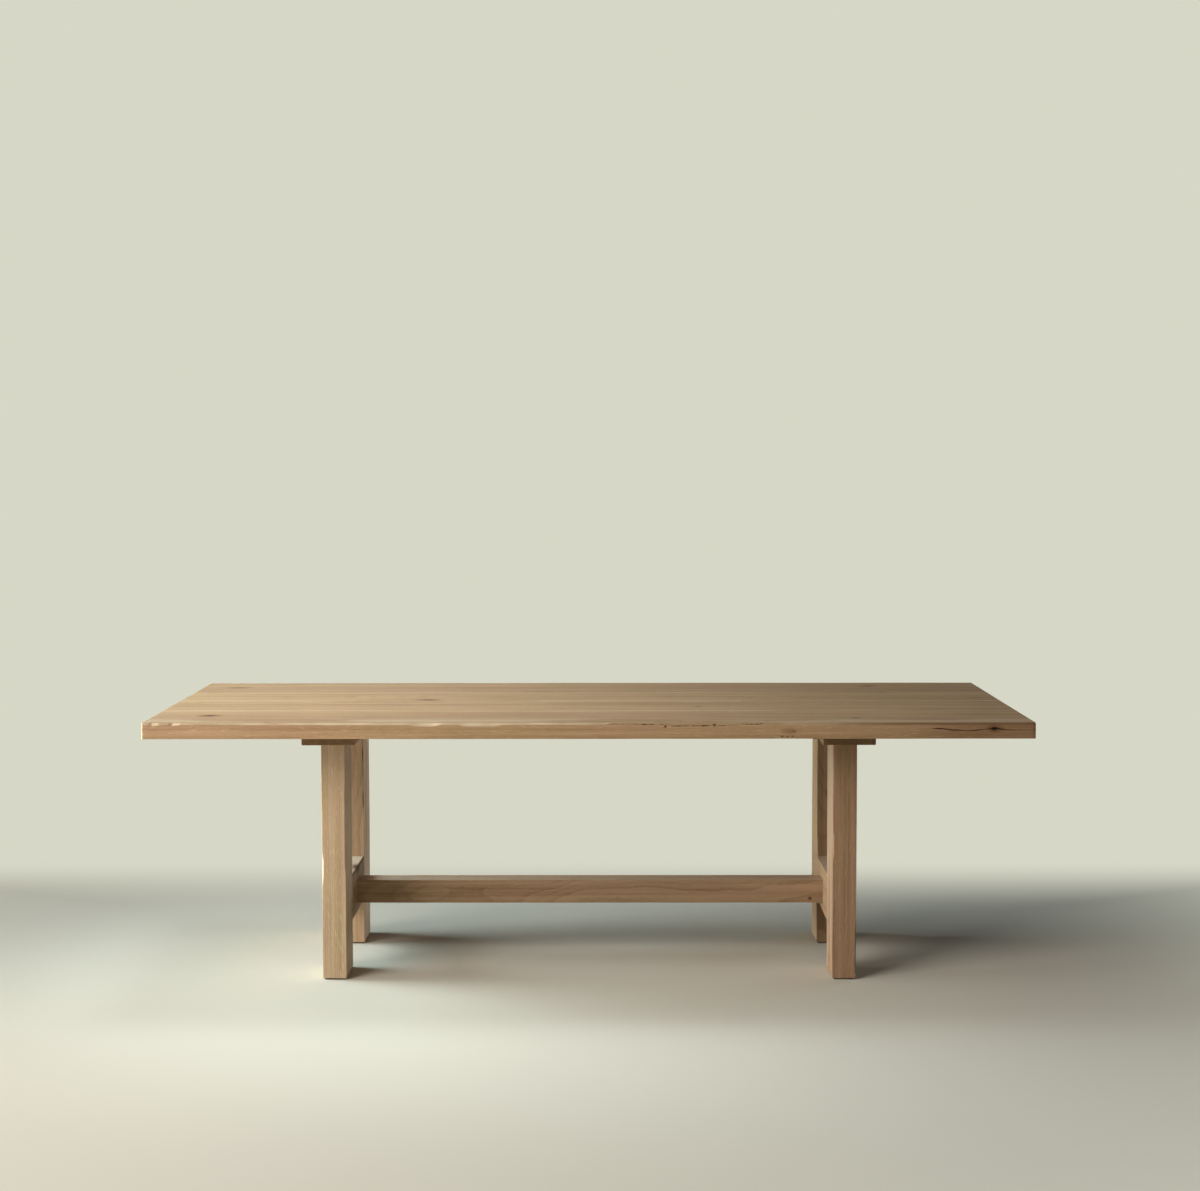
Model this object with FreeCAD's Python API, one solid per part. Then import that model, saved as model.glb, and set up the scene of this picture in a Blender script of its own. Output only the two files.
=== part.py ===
import FreeCAD, Part
import math
import os

from FreeCAD import Vector

# A trestle dining table in solid oak. Millimetres: X runs along the table, Y from its front (-Y) to its
# back, and Z up from the floor. The origin is on the floor, below the middle of the top. The right
# trestle is the one at +X.

# Top: four planks, glued and dowelled edge to edge.
table_height = 750.0
top_length = 2400.0
top_thickness = 44.0
front_plank_width = 245.0
middle_front_plank_width = 215.0
middle_back_plank_width = 195.0
back_plank_width = 245.0
top_corner_radius = 5.0
top_arris_radius = 2.5

# Trestles: overall sizes are taken over the outer faces of the legs.
trestle_span = 1492.0
trestle_depth = 530.0
leg_thickness = 67.0
leg_depth = 135.0
bearer_past_legs = 93.0
bearer_width = 145.0
bearer_thickness = 31.0
bearer_arris_radius = 3.0
rail_height = 129.0
rail_above_floor = 137.0
stretcher_height = 67.0
stretcher_width = 67.0
stretcher_above_rail_foot = 26.0
arris_radius = 2.0

# Felt pads under the legs.
pad_thickness = 4.0
pad_inset = 5.0
pad_corner_radius = 3.0

# Tenons. A shoulder is the step from the piece's face to its tenon's face.
rail_tenon_length = 70.0
rail_tenon_thickness = 24.0
rail_tenon_shoulder = 20.0
leg_tenon_length = 18.0
leg_tenon_side_shoulder = 14.0
leg_tenon_end_shoulder = 20.0
stretcher_tenon_length = 20.0
stretcher_tenon_shoulder = 12.0

# Dowels in the top's glue joints.
dowel_diameter = 10.0
dowel_length = 60.0
dowel_spacing = 400.0
dowel_chamfer = 1.0

# Bolts that hold the top down, through the bearers and into threaded inserts.
top_bolt_diameter = 8.0
top_bolt_head_diameter = 13.0
top_bolt_head_height = 8.0
top_bolt_key_width = 6.0
top_bolt_grip_in_top = 23.0
top_bolt_from_bearer_end = 38.0
top_bolt_sink = 1.0
top_washer_diameter = 24.0
top_washer_thickness = 1.6
top_slot_play = 3.0
insert_diameter = 12.0
insert_length = 20.0

# Long screws that pull each leg's head up to its bearer.
bearer_screw_diameter = 6.0
bearer_screw_length = 100.0
bearer_screw_head_diameter = 12.0
bearer_screw_key_width = 4.0
bearer_screw_spacing = 56.0
screw_point_length = 6.0

# Bolts that draw the rails up to the stretcher, each under a wooden plug.
stretcher_bolt_diameter = 10.0
stretcher_bolt_head_diameter = 16.0
stretcher_bolt_head_height = 10.0
stretcher_bolt_key_width = 8.0
stretcher_bolt_past_nut = 4.0
stretcher_washer_diameter = 22.0
stretcher_washer_thickness = 2.0
barrel_nut_diameter = 16.0
barrel_nut_length = 30.0
barrel_nut_from_shoulder = 40.0
nut_slot_width = 2.0
nut_slot_depth = 2.0
plug_diameter = 26.0
plug_thickness = 8.0
plug_chamfer = 0.6

# Clearances.
tenon_cheek_gap = 0.1
tenon_end_gap = 2.0
dowel_side_gap = 0.1
dowel_end_gap = 2.0
bolt_side_gap = 0.5
bolt_end_gap = 2.0
washer_side_gap = 0.5
thread_gap = 0.05
nut_side_gap = 0.1
plug_side_gap = 0.1
plug_head_gap = 1.0
head_chamfer = 0.8
bolt_point_chamfer = 1.0
key_depth_share = 0.5

# Places that follow from the sizes.
plank_widths = [front_plank_width, middle_front_plank_width, middle_back_plank_width, back_plank_width]
top_width = sum(plank_widths)
top_bottom = table_height - top_thickness
bearer_bottom = top_bottom - bearer_thickness
leg_bottom = pad_thickness
leg_outer_x = trestle_span / 2
leg_inner_x = leg_outer_x - leg_thickness
trestle_x = leg_outer_x - leg_thickness / 2
bearer_length = trestle_depth + 2 * bearer_past_legs
leg_outer_y = trestle_depth / 2
leg_inner_y = leg_outer_y - leg_depth
leg_y = leg_outer_y - leg_depth / 2
rail_top = rail_above_floor + rail_height
stretcher_bottom = rail_above_floor + stretcher_above_rail_foot
stretcher_z = stretcher_bottom + stretcher_height / 2

# Fastener places that follow from the sizes.
top_counterbore_depth = top_bolt_head_height + top_washer_thickness + top_bolt_sink
top_head_z = bearer_bottom + top_counterbore_depth - top_washer_thickness
top_bolt_offset = (leg_thickness / 2 + bearer_width / 2) / 2
stretcher_head_depth = plug_thickness + plug_head_gap + stretcher_bolt_head_height
stretcher_counterbore_depth = stretcher_head_depth + stretcher_washer_thickness
stretcher_head_x = leg_outer_x - stretcher_head_depth
barrel_nut_x = leg_inner_x - barrel_nut_from_shoulder
stretcher_bolt_end_x = barrel_nut_x - barrel_nut_diameter / 2 - stretcher_bolt_past_nut

UP = Vector(0, 0, 1)
TO_BACK = Vector(0, 1, 0)
TO_LEFT = Vector(-1, 0, 0)


# ---------------------------------------------------------------- shapes

def block(x_range, y_range, z_range):
    """A box between the two ends given for each axis."""
    corner = Vector(x_range[0], y_range[0], z_range[0])
    far_corner = Vector(x_range[1], y_range[1], z_range[1])
    size = far_corner - corner
    return Part.makeBox(size.x, size.y, size.z, corner)


def middle_range(middle, size):
    """The two ends of a length that lies evenly about its middle."""
    return (middle - size / 2, middle + size / 2)


def edges_along(shape, direction):
    """The shape's straight edges that run parallel to direction."""
    def is_along(edge):
        return edge.tangentAt(edge.FirstParameter).cross(direction).Length < 1e-6
    return [edge for edge in shape.Edges if is_along(edge)]


def edges_at_height(shape, height):
    """The shape's edges that lie flat at one height."""
    def is_flat_there(edge):
        return abs(edge.BoundBox.ZMin - height) < 1e-6 and abs(edge.BoundBox.ZMax - height) < 1e-6
    return [edge for edge in shape.Edges if is_flat_there(edge)]


def turned(outline):
    """A solid of revolution about Z, from its outline of (radius, height) corners."""
    corners = [Vector(radius, 0, height) for radius, height in outline]
    face = Part.Face(Part.makePolygon(corners + corners[:1]))
    return face.revolve(Vector(0, 0, 0), UP, 360)


def hole(position, direction, diameter, depth):
    """The round tool that drills a hole from position along direction."""
    return Part.makeCylinder(diameter / 2, depth, position, direction)


def slot(x, y, bottom, width, play, height):
    """The upright tool that mills a slot: play longer each way along Y than it is wide."""
    radius = width / 2
    front_left = Vector(x - radius, y - play, bottom)
    front_tip = Vector(x, y - play - radius, bottom)
    front_right = Vector(x + radius, y - play, bottom)
    back_right = Vector(x + radius, y + play, bottom)
    back_tip = Vector(x, y + play + radius, bottom)
    back_left = Vector(x - radius, y + play, bottom)
    outline = Part.Wire([
        Part.Arc(front_left, front_tip, front_right).toShape(),
        Part.makeLine(front_right, back_right),
        Part.Arc(back_right, back_tip, back_left).toShape(),
        Part.makeLine(back_left, front_left),
    ])
    return Part.Face(outline).extrude(Vector(0, 0, height))


def hexagon(across_flats, height):
    """An upright hexagonal prism, for a key's recess, with its foot at the origin."""
    radius = across_flats / math.sqrt(3)
    corners = [
        Vector(radius * math.cos(turn * math.pi / 3), radius * math.sin(turn * math.pi / 3), 0)
        for turn in range(7)
    ]
    return Part.Face(Part.makePolygon(corners)).extrude(Vector(0, 0, height))


def placed(shape, position, direction=UP):
    """A copy of the shape with its origin at position and its Z axis along direction."""
    copy = shape.copy()
    copy.Placement = FreeCAD.Placement(position, FreeCAD.Rotation(UP, direction))
    return copy


def on_left(shape):
    """The same piece on the left trestle."""
    return shape.mirror(Vector(0, 0, 0), Vector(1, 0, 0))


def at_front(shape):
    """The same piece at the trestle's front."""
    return shape.mirror(Vector(0, 0, 0), Vector(0, 1, 0))


def cut_by(shape, tools):
    """The shape's one solid after all the tools have cut it."""
    return shape.cut(Part.makeCompound(tools)).Solids[0]


# ---------------------------------------------------------------- fasteners

def socket_bolt(diameter, length, head_diameter, head_height, key_width):
    """A socket head bolt: its head's seat is at the origin and its shank runs up."""
    body = turned([
        (0, -head_height),
        (head_diameter / 2 - head_chamfer, -head_height),
        (head_diameter / 2, -head_height + head_chamfer),
        (head_diameter / 2, 0),
        (diameter / 2, 0),
        (diameter / 2, length - bolt_point_chamfer),
        (diameter / 2 - bolt_point_chamfer, length),
        (0, length),
    ])
    key = hexagon(key_width, head_height * key_depth_share)
    return cut_by(body, [placed(key, Vector(0, 0, -head_height))])


def washer(hole_diameter, diameter, thickness):
    """A flat washer with its lower face at the origin."""
    return turned([
        (hole_diameter / 2, 0),
        (diameter / 2, 0),
        (diameter / 2, thickness),
        (hole_diameter / 2, thickness),
    ])


def screw_outline(side_gap, end_gap):
    """Half the outline of a bearer screw from its head's top down, swelled by the gaps."""
    shank_radius = bearer_screw_diameter / 2 + side_gap
    head_radius = bearer_screw_head_diameter / 2 + side_gap
    head_height = head_radius - shank_radius
    end = -bearer_screw_length - end_gap
    return [
        (0, 0),
        (head_radius, 0),
        (shank_radius, -head_height),
        (shank_radius, end + screw_point_length),
        (0, end),
    ]


def bearer_screw():
    """A countersunk wood screw: its head's top is at the origin and its shank runs down."""
    head_height = (bearer_screw_head_diameter - bearer_screw_diameter) / 2
    key_depth = head_height * key_depth_share
    key = placed(hexagon(bearer_screw_key_width, key_depth), Vector(0, 0, -key_depth))
    return cut_by(turned(screw_outline(0, 0)), [key])


def dowel():
    """A dowel along Z, with its middle at the origin."""
    radius = dowel_diameter / 2
    half = dowel_length / 2
    return turned([
        (0, -half),
        (radius - dowel_chamfer, -half),
        (radius, -half + dowel_chamfer),
        (radius, half - dowel_chamfer),
        (radius - dowel_chamfer, half),
        (0, half),
    ])


def barrel_nut():
    """A right-hand barrel nut in place, with its cross hole along X and a slot in its foot."""
    foot = Vector(barrel_nut_x, 0, stretcher_z - barrel_nut_length / 2)
    body = Part.makeCylinder(barrel_nut_diameter / 2, barrel_nut_length, foot)
    thread_start = Vector(barrel_nut_x + barrel_nut_diameter / 2, 0, stretcher_z)
    thread = hole(thread_start, TO_LEFT, stretcher_bolt_diameter + 2 * thread_gap, barrel_nut_diameter)
    slot_range = (foot.z, foot.z + nut_slot_depth)
    across = middle_range(barrel_nut_x, barrel_nut_diameter)
    driver_slot = block(across, middle_range(0, nut_slot_width), slot_range)
    return cut_by(body, [thread, driver_slot])


# ---------------------------------------------------------------- fastener places

def plank_edge_places():
    """The Y of the top's front edge, of each glue joint and of its back edge."""
    places = [-top_width / 2]
    for width in plank_widths:
        places.append(places[-1] + width)
    return places


def dowel_places():
    """The middle of each dowel: evenly spaced along every glue joint."""
    steps = int(top_length / dowel_spacing) - 1
    first_x = -steps * dowel_spacing / 2
    z = top_bottom + top_thickness / 2
    return [
        Vector(first_x + step * dowel_spacing, joint_y, z)
        for joint_y in plank_edge_places()[1:-1]
        for step in range(steps + 1)
    ]


def top_bolt_places():
    """The axis of each right-hand top bolt, at the top's underside: a pair in every plank."""
    edges = plank_edge_places()
    outer_y = bearer_length / 2 - top_bolt_from_bearer_end
    rows = [-outer_y, (edges[1] + edges[2]) / 2, (edges[2] + edges[3]) / 2, outer_y]
    return [
        Vector(trestle_x + side * top_bolt_offset, row, top_bottom)
        for row in rows
        for side in (-1, 1)
    ]


def leg_screw_places():
    """The head of each screw over the right back leg."""
    half = bearer_screw_spacing / 2
    return [Vector(trestle_x, leg_y + offset, top_bottom) for offset in (-half, half)]


# ---------------------------------------------------------------- top

def top_slab():
    """The whole top before it is divided into planks, with its corners and arrises eased."""
    slab = block(
        middle_range(0, top_length),
        middle_range(0, top_width),
        (top_bottom, table_height),
    )
    slab = slab.makeFillet(top_corner_radius, edges_along(slab, UP))
    rims = edges_at_height(slab, top_bottom) + edges_at_height(slab, table_height)
    return slab.makeFillet(top_arris_radius, rims)


def top_holes():
    """The holes in the planks for the dowels, the inserts and the top bolts' ends."""
    dowel_bore = dowel_diameter + 2 * dowel_side_gap
    dowel_bore_depth = dowel_length + 2 * dowel_end_gap
    dowel_holes = [
        hole(place - TO_BACK * (dowel_bore_depth / 2), TO_BACK, dowel_bore, dowel_bore_depth)
        for place in dowel_places()
    ]
    insert_bore = insert_diameter + 2 * thread_gap
    insert_bore_depth = top_bolt_grip_in_top + bolt_end_gap
    right = [hole(place, UP, insert_bore, insert_bore_depth) for place in top_bolt_places()]
    left = [on_left(tool) for tool in right]
    return dowel_holes + right + left


def top_planks():
    """The four planks, from the front to the back."""
    slab = cut_by(top_slab(), top_holes())
    edges = plank_edge_places()
    along = middle_range(0, top_length)
    through = (top_bottom, table_height)
    strips = [block(along, pair, through) for pair in zip(edges, edges[1:])]
    return [slab.common(strip).Solids[0] for strip in strips]


def plank_dowels():
    return [placed(dowel(), place, TO_BACK) for place in dowel_places()]


# ---------------------------------------------------------------- trestles

def right_bearer():
    """The plate between the right legs and the top, mortised from below for the legs' heads."""
    plate = block(
        middle_range(trestle_x, bearer_width),
        middle_range(0, bearer_length),
        (bearer_bottom, top_bottom),
    )
    eased = edges_along(plate, UP) + edges_at_height(plate, bearer_bottom)
    plate = plate.makeFillet(bearer_arris_radius, eased)
    screw_tool = turned(screw_outline(bolt_side_gap, 0))
    back_tools = [leg_head_mortise()]
    back_tools += [placed(screw_tool, place) for place in leg_screw_places()]
    front_tools = [at_front(tool) for tool in back_tools]
    return cut_by(plate, back_tools + front_tools + top_bolt_slots())


def leg_head_mortise():
    """The tool that cuts the right back leg's mortise in the bearer."""
    size_x = leg_thickness - 2 * leg_tenon_side_shoulder + 2 * tenon_cheek_gap
    size_y = leg_depth - 2 * leg_tenon_end_shoulder + 2 * tenon_cheek_gap
    depth = leg_tenon_length + tenon_end_gap
    return block(
        middle_range(trestle_x, size_x),
        middle_range(leg_y, size_y),
        (bearer_bottom, bearer_bottom + depth),
    )


def top_bolt_slots():
    """The slotted holes and counterbores in the right bearer, long across the top's grain."""
    bore = top_bolt_diameter + 2 * bolt_side_gap
    counterbore = top_washer_diameter + 2 * washer_side_gap
    tools = []
    for place in top_bolt_places():
        tools.append(slot(place.x, place.y, bearer_bottom, bore, top_slot_play, bearer_thickness))
        tools.append(slot(
            place.x, place.y, bearer_bottom, counterbore, top_slot_play, top_counterbore_depth,
        ))
    return tools


def right_back_leg():
    """A post with a stub tenon on its head and a blind mortise for the cross rail."""
    post = block(
        (leg_inner_x, leg_outer_x),
        (leg_inner_y, leg_outer_y),
        (leg_bottom, bearer_bottom),
    )
    post = post.makeFillet(arris_radius, edges_along(post, UP) + edges_at_height(post, leg_bottom))
    tenon = block(
        middle_range(trestle_x, leg_thickness - 2 * leg_tenon_side_shoulder),
        middle_range(leg_y, leg_depth - 2 * leg_tenon_end_shoulder),
        (bearer_bottom, bearer_bottom + leg_tenon_length),
    )
    rail_mortise = block(
        middle_range(trestle_x, rail_tenon_thickness + 2 * tenon_cheek_gap),
        (leg_inner_y, leg_inner_y + rail_tenon_length + tenon_end_gap),
        middle_range(
            (rail_above_floor + rail_top) / 2,
            rail_height - 2 * rail_tenon_shoulder + 2 * tenon_cheek_gap,
        ),
    )
    screw_tool = turned(screw_outline(thread_gap, bolt_end_gap))
    screw_holes = [placed(screw_tool, place) for place in leg_screw_places()]
    return cut_by(post.fuse(tenon), [rail_mortise] + screw_holes)


def right_cross_rail():
    """The low rail between the right legs, tenoned into both and bored for the stretcher."""
    rail = block(
        (leg_inner_x, leg_outer_x),
        (-leg_inner_y, leg_inner_y),
        (rail_above_floor, rail_top),
    )
    rail = rail.makeFillet(arris_radius, edges_along(rail, TO_BACK))
    tenons = block(
        middle_range(trestle_x, rail_tenon_thickness),
        middle_range(0, 2 * (leg_inner_y + rail_tenon_length)),
        (rail_above_floor + rail_tenon_shoulder, rail_top - rail_tenon_shoulder),
    )
    mortise_size = 2 * (tenon_cheek_gap - stretcher_tenon_shoulder)
    stretcher_mortise = block(
        (leg_inner_x, leg_inner_x + stretcher_tenon_length + tenon_end_gap),
        middle_range(0, stretcher_width + mortise_size),
        middle_range(stretcher_z, stretcher_height + mortise_size),
    )
    face_centre = Vector(leg_outer_x, 0, stretcher_z)
    bore = stretcher_bolt_diameter + 2 * bolt_side_gap
    bolt_hole = hole(face_centre, TO_LEFT, bore, leg_thickness)
    counterbore = plug_diameter + 2 * plug_side_gap
    plug_hole = hole(face_centre, TO_LEFT, counterbore, stretcher_counterbore_depth)
    return cut_by(rail.fuse(tenons), [stretcher_mortise, bolt_hole, plug_hole])


def stretcher():
    """The long beam between the two cross rails, with a stub tenon and a bolt at each end."""
    beam = block(
        (-leg_inner_x, leg_inner_x),
        middle_range(0, stretcher_width),
        middle_range(stretcher_z, stretcher_height),
    )
    beam = beam.makeFillet(arris_radius, edges_along(beam, TO_LEFT))
    tenon_end_x = leg_inner_x + stretcher_tenon_length
    tenons = block(
        (-tenon_end_x, tenon_end_x),
        middle_range(0, stretcher_width - 2 * stretcher_tenon_shoulder),
        middle_range(stretcher_z, stretcher_height - 2 * stretcher_tenon_shoulder),
    )
    bore_depth = tenon_end_x - stretcher_bolt_end_x + bolt_end_gap
    bore = stretcher_bolt_diameter + 2 * bolt_side_gap
    bolt_hole = hole(Vector(tenon_end_x, 0, stretcher_z), TO_LEFT, bore, bore_depth)
    nut_depth = stretcher_height / 2 + barrel_nut_length / 2 + nut_side_gap
    nut_mouth = Vector(barrel_nut_x, 0, stretcher_bottom)
    nut_hole = hole(nut_mouth, UP, barrel_nut_diameter + 2 * nut_side_gap, nut_depth)
    tools = [bolt_hole, nut_hole]
    return cut_by(beam.fuse(tenons), tools + [on_left(tool) for tool in tools])


def right_back_foot_pad():
    pad = block(
        (leg_inner_x + pad_inset, leg_outer_x - pad_inset),
        (leg_inner_y + pad_inset, leg_outer_y - pad_inset),
        (0, pad_thickness),
    )
    return pad.makeFillet(pad_corner_radius, edges_along(pad, UP))


# ---------------------------------------------------------------- fasteners in place

def right_top_bolts():
    length = top_bottom + top_bolt_grip_in_top - top_head_z
    bolt = socket_bolt(
        top_bolt_diameter, length, top_bolt_head_diameter, top_bolt_head_height, top_bolt_key_width,
    )
    return [placed(bolt, Vector(place.x, place.y, top_head_z)) for place in top_bolt_places()]


def right_top_washers():
    bore = top_bolt_diameter + 2 * bolt_side_gap
    ring = washer(bore, top_washer_diameter, top_washer_thickness)
    return [placed(ring, Vector(place.x, place.y, top_head_z)) for place in top_bolt_places()]


def right_top_inserts():
    sleeve = washer(top_bolt_diameter + 2 * thread_gap, insert_diameter, insert_length)
    return [placed(sleeve, place) for place in top_bolt_places()]


def right_bearer_screws():
    back = [placed(bearer_screw(), place) for place in leg_screw_places()]
    return back + [at_front(screw) for screw in back]


def right_stretcher_bolt():
    bolt = socket_bolt(
        stretcher_bolt_diameter,
        stretcher_head_x - stretcher_bolt_end_x,
        stretcher_bolt_head_diameter,
        stretcher_bolt_head_height,
        stretcher_bolt_key_width,
    )
    return placed(bolt, Vector(stretcher_head_x, 0, stretcher_z), TO_LEFT)


def right_stretcher_washer():
    bore = stretcher_bolt_diameter + 2 * bolt_side_gap
    ring = washer(bore, stretcher_washer_diameter, stretcher_washer_thickness)
    return placed(ring, Vector(stretcher_head_x, 0, stretcher_z), TO_LEFT)


def right_stretcher_plug():
    """The wooden disc over the stretcher bolt's head, flush with the rail's outer face."""
    radius = plug_diameter / 2
    disc = turned([
        (0, 0),
        (radius, 0),
        (radius, plug_thickness - plug_chamfer),
        (radius - plug_chamfer, plug_thickness),
        (0, plug_thickness),
    ])
    seat = Vector(leg_outer_x - plug_thickness, 0, stretcher_z)
    return placed(disc, seat, Vector(1, 0, 0))


# ---------------------------------------------------------------- files

def save(name, solids):
    """Write one node: a single solid, or a group of like fasteners as separate solids."""
    shape = solids[0] if len(solids) == 1 else Part.makeCompound(solids)
    shape.exportStep("parts/" + name + ".step")


def save_both_sides(name, right_solids):
    """Write one node that holds the fasteners of both trestles."""
    save(name, right_solids + [on_left(solid) for solid in right_solids])


def save_four_corners(name, right_back_solid):
    """Write one node for each of the four legs' places."""
    right_front_solid = at_front(right_back_solid)
    save("right_back_" + name, [right_back_solid])
    save("right_front_" + name, [right_front_solid])
    save("left_back_" + name, [on_left(right_back_solid)])
    save("left_front_" + name, [on_left(right_front_solid)])


def main():
    os.makedirs("parts", exist_ok=True)
    front, middle_front, middle_back, back = top_planks()
    save("top_plank_front", [front])
    save("top_plank_middle_front", [middle_front])
    save("top_plank_middle_back", [middle_back])
    save("top_plank_back", [back])
    save("plank_dowels", plank_dowels())

    save("right_bearer", [right_bearer()])
    save("left_bearer", [on_left(right_bearer())])
    save_four_corners("leg", right_back_leg())
    save("right_cross_rail", [right_cross_rail()])
    save("left_cross_rail", [on_left(right_cross_rail())])
    save("stretcher", [stretcher()])
    save_four_corners("foot_pad", right_back_foot_pad())

    save_both_sides("top_bolts", right_top_bolts())
    save_both_sides("top_bolt_washers", right_top_washers())
    save_both_sides("top_inserts", right_top_inserts())
    save_both_sides("bearer_screws", right_bearer_screws())
    save_both_sides("stretcher_bolts", [right_stretcher_bolt()])
    save_both_sides("stretcher_bolt_washers", [right_stretcher_washer()])
    save_both_sides("stretcher_barrel_nuts", [barrel_nut()])
    save_both_sides("stretcher_bolt_plugs", [right_stretcher_plug()])


main()
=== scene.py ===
import math
from collections import namedtuple

import bpy
import numpy as np
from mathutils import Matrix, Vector


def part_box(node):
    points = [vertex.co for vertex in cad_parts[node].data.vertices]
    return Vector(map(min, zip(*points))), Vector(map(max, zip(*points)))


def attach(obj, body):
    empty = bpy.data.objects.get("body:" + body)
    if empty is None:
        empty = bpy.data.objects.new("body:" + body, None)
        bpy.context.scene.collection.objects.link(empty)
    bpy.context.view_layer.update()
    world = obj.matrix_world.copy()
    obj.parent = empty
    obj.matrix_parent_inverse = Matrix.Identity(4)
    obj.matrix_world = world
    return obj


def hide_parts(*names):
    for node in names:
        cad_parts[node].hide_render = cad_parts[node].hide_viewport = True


# Metres. X runs along the table, Y from its front (-Y) to its back, Z up from the floor.
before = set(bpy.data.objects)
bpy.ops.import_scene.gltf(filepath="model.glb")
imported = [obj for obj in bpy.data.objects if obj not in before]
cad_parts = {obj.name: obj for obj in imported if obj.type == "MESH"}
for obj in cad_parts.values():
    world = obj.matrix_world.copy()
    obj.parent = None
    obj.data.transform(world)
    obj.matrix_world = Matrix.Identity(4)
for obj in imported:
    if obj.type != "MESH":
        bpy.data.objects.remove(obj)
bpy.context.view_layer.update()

# ---------------------------------------------------------------- colours

PALE_WALL = (0.68, 0.68, 0.57)
FLOOR_PAINTED_SHADE = (0.435, 0.41, 0.345)
FLOOR_UNSHADED = (0.84, 0.79, 0.66)
LIGHT_OAK = (0.515, 0.347, 0.205)
DARK_OAK = (0.275, 0.165, 0.085)
PORE_OAK = (0.150, 0.083, 0.041)
END_OAK = (0.21, 0.128, 0.066)
# Pale colour for faces that look up: partly a dusty film, partly painted light.
DUST_AND_TOP_LIGHT = (0.72, 0.62, 0.48)
SAP_OAK = (0.60, 0.468, 0.32)
FRESH_OAK = (0.75, 0.62, 0.41)
WORN_OAK = (0.63, 0.53, 0.39)
KNOT_RED = (0.175, 0.082, 0.038)
KNOT_BLACK = (0.020, 0.013, 0.009)
BEECH = (0.62, 0.43, 0.28)
BEECH_FLECK = (0.44, 0.27, 0.16)
ZINC_LIGHT = (0.66, 0.66, 0.63)
ZINC_DARK = (0.47, 0.47, 0.46)
BRASS_LIGHT = (0.78, 0.58, 0.27)
BRASS_DARK = (0.56, 0.39, 0.16)
FELT_LIGHT = (0.105, 0.082, 0.064)
FELT_DARK = (0.038, 0.029, 0.023)

# ---------------------------------------------------------------- the wood's own features

# A knot is a branch that runs into its member along one axis, as deep as given. Its size is its radius
# across the grain, long says how many times longer it is along the grain, and dark how black its core
# is.
Knot = namedtuple("Knot", "at axis size long deep dark")

KNOTS = {
    "top_plank_front": (
        Knot((-1.046, -0.303, 0.75), "Z", 0.012, 1.6, 0.20, 0.70),
        Knot((0.730, -0.360, 0.75), "Z", 0.005, 1.6, 0.10, 0.50),
        Knot((1.0895, -0.450, 0.7335), "Y", 0.0058, 2.2, 0.03, 1.0),
        Knot((0.540, -0.450, 0.727), "Y", 0.0048, 2.6, 0.02, 0.10),
        Knot((0.551, -0.450, 0.7265), "Y", 0.0016, 1.8, 0.006, 0.45),
        Knot((0.520, -0.450, 0.7130), "Y", 0.0016, 1.6, 0.006, 0.60),
        Knot((0.5345, -0.450, 0.7127), "Y", 0.0014, 1.6, 0.006, 0.60),
        Knot((0.548, -0.450, 0.7130), "Y", 0.0015, 1.6, 0.006, 0.50),
        Knot((0.2068, -0.450, 0.7398), "Y", 0.0022, 1.2, 0.004, 0.95),
        Knot((0.3384, -0.450, 0.7438), "Y", 0.0022, 1.3, 0.004, 0.95),
        Knot((0.4633, -0.450, 0.7475), "Y", 0.0016, 1.5, 0.004, 0.60),
    ),
    "top_plank_middle_front": (Knot((0.310, -0.120, 0.75), "Z", 0.004, 1.5, 0.10, 0.5),),
    "top_plank_middle_back": (Knot((-0.474, 0.034, 0.75), "Z", 0.011, 2.0, 0.20, 0.55),),
    "top_plank_back": (
        Knot((0.860, 0.360, 0.75), "Z", 0.009, 1.8, 0.20, 0.5),
        Knot((-1.087, 0.330, 0.75), "Z", 0.010, 2.2, 0.20, 0.25),
    ),
    "stretcher": (Knot((0.641, -0.0335, 0.1755), "Y", 0.0034, 1.2, 0.03, 0.75),),
    "left_cross_rail": (
        Knot((-0.6800, -0.014, 0.2650), "Z", 0.0130, 1.7, 0.014, 1.0),
        Knot((-0.6796, 0.010, 0.2654), "Z", 0.0024, 55.0, 0.0030, 0.85),
    ),
    "right_back_leg": (Knot((0.7125, 0.130, 0.46), "Y", 0.004, 1.8, 0.05, 0.4),),
}

# ---------------------------------------------------------------- shader nodes


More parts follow.
